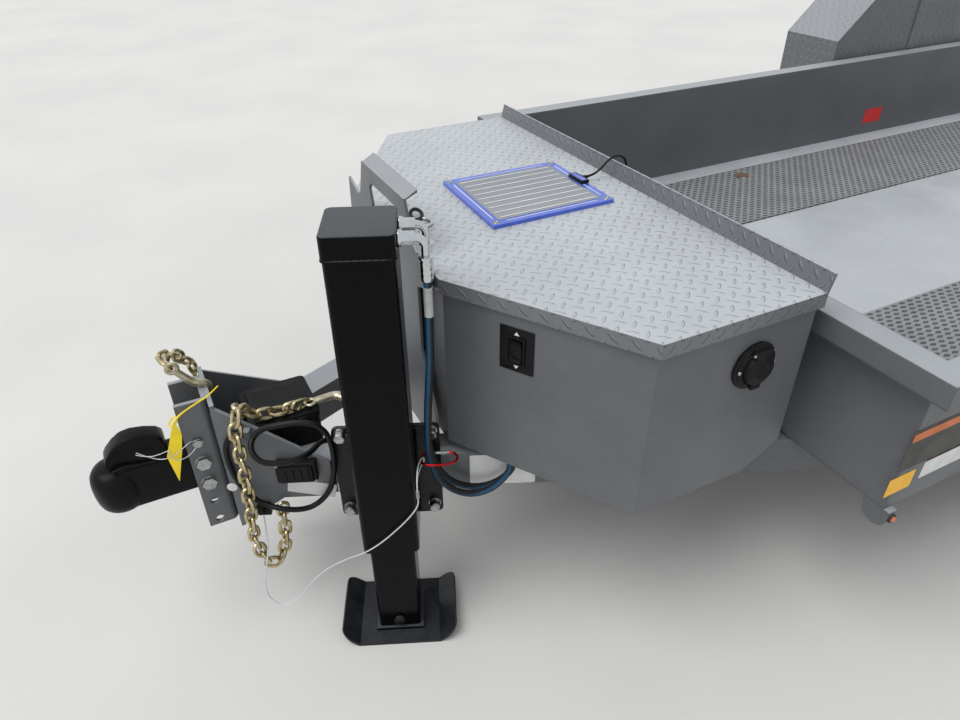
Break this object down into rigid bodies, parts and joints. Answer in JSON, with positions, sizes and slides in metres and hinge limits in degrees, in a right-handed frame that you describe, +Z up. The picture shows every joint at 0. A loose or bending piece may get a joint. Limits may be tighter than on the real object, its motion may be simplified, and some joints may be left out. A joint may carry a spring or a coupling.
{
  "type": "tandem tilt-bed utility trailer",
  "caption": "Tandem utility trailer with a hydraulically tilted deck between box fenders, tongue tool box with hinged lid and solar panel, square hydraulic jack and ball coupler.",
  "frame": {"origin": "on the ground under the middle of the trailer's overall box", "axes": "+X forward along the trailer to the coupler, +Y to the left side, +Z up"},
  "size_m": [5.748, 2.43, 1.12],
  "materials": {
    "amber_lens": "lens",
    "black_paint": "gloss black paint",
    "black_plastic": "moulded",
    "chrome": "hard chrome",
    "gold_zinc": "yellow zinc plate",
    "grey_paint": "satin powder coat",
    "hose_rubber": "hose cover",
    "red_anodised": "anodised red",
    "red_lens": "lens",
    "rim_silver": "silver paint",
    "rubber": "rubber",
    "solar_blue": "laminate",
    "steel": "bare steel",
    "tread_plate": "powder coated tread plate",
    "tyre": "rubber",
    "wire_coat": "clear coated wire rope",
    "zinc": "zinc plate"
  },
  "bodies": {
    "chassis": {"ball_coupler": "black_paint", "bed_rest_pads": "rubber", "box_supports": "grey_paint", "breakaway_cable": "wire_coat", "breakaway_case": "black_plastic", "chain_hook": "gold_zinc", "chain_hook_plate": "grey_paint", "coupler_bolts": "zinc", "coupler_channel": "grey_paint", "fender_left": "tread_plate", "fender_right": "tread_plate", "frame_crossmembers": "grey_paint", "hydraulic_hoses": "hose_rubber", "hydraulic_unit": "black_paint", "jack_fittings": "chrome", "jack_mount": "black_paint", "jack_tube": "black_paint", "pivot_pins": "steel", "power_inlet": "black_plastic", "safety_chain_left": "gold_zinc", "safety_chain_right": "gold_zinc", "side_rail_left": "grey_paint", "side_rail_right": "grey_paint", "snap_hook": "red_anodised", "switch_plate": "black_plastic", "tail_lamps": "red_lens", "tongue_head": "grey_paint", "tongue_rail_left": "grey_paint", "tongue_rail_right": "grey_paint", "tool_box": "grey_paint", "trailer_cable": "black_plastic", "trailer_plug": "black_plastic", "wheel_arms": "grey_paint"},
    "bed": {"bed_walls": "grey_paint", "bed_floor": "grey_paint", "traction_strips": "grey_paint", "bed_crossmembers": "grey_paint", "bed_stringers": "grey_paint", "tail_plate": "grey_paint", "front_ears": "grey_paint", "front_markers": "amber_lens"},
    "lid": {"box_lid": "tread_plate", "solar_panel": "solar_blue", "solar_lead": "black_plastic"},
    "jack_leg": {"jack_leg": "black_paint", "jack_foot": "black_paint"},
    "tilt_barrel": {"cylinder_barrel": "black_paint"},
    "tilt_rod": {"cylinder_rod": "chrome"},
    "wheel_front_left": {"tyre_front_left": "tyre", "rim_front_left": "rim_silver"},
    "wheel_front_right": {"tyre_front_right": "tyre", "rim_front_right": "rim_silver"},
    "wheel_rear_left": {"tyre_rear_left": "tyre", "rim_rear_left": "rim_silver"},
    "wheel_rear_right": {"tyre_rear_right": "tyre", "rim_rear_right": "rim_silver"}
  },
  "joints": [
    {"name": "bed_tilt", "type": "hinge", "parent": "chassis", "child": "bed", "pos_m": [-0.954, 0, 0.43], "axis": [0, -1, 0], "range_deg": [0, 13.5]},
    {"name": "lid_hinge", "type": "hinge", "parent": "chassis", "child": "lid", "pos_m": [1.507, 0, 0.90685], "axis": [0, -1, 0], "range_deg": [0, 65]},
    {"name": "jack_slide", "type": "slide", "parent": "chassis", "child": "jack_leg", "axis": [0, 0, 1], "range_m": [0, 0.15]},
    {"name": "barrel_swing", "type": "hinge", "parent": "chassis", "child": "tilt_barrel", "pos_m": [0.416, 0, 0.27], "axis": [0, 1, 0], "range_deg": [0, 8.8]},
    {"name": "rod_slide", "type": "slide", "parent": "tilt_barrel", "child": "tilt_rod", "axis": [-0.9903, 0, 0.1389], "range_m": [0, 0.0275]},
    {"name": "wheel_front_left_spin", "type": "hinge", "parent": "chassis", "child": "wheel_front_left", "pos_m": [-0.824, 1.0725, 0.391], "axis": [0, 1, 0], "continuous": true},
    {"name": "wheel_front_right_spin", "type": "hinge", "parent": "chassis", "child": "wheel_front_right", "pos_m": [-0.824, -1.0725, 0.391], "axis": [0, 1, 0], "continuous": true},
    {"name": "wheel_rear_left_spin", "type": "hinge", "parent": "chassis", "child": "wheel_rear_left", "pos_m": [-1.704, 1.0725, 0.391], "axis": [0, 1, 0], "continuous": true},
    {"name": "wheel_rear_right_spin", "type": "hinge", "parent": "chassis", "child": "wheel_rear_right", "pos_m": [-1.704, -1.0725, 0.391], "axis": [0, 1, 0], "continuous": true}
  ],
  "couplings": [
    {"joint": "barrel_swing", "follows": "bed_tilt", "ratio": 0.6418},
    {"joint": "rod_slide", "follows": "bed_tilt", "m_per_rad": 0.1156}
  ]
}
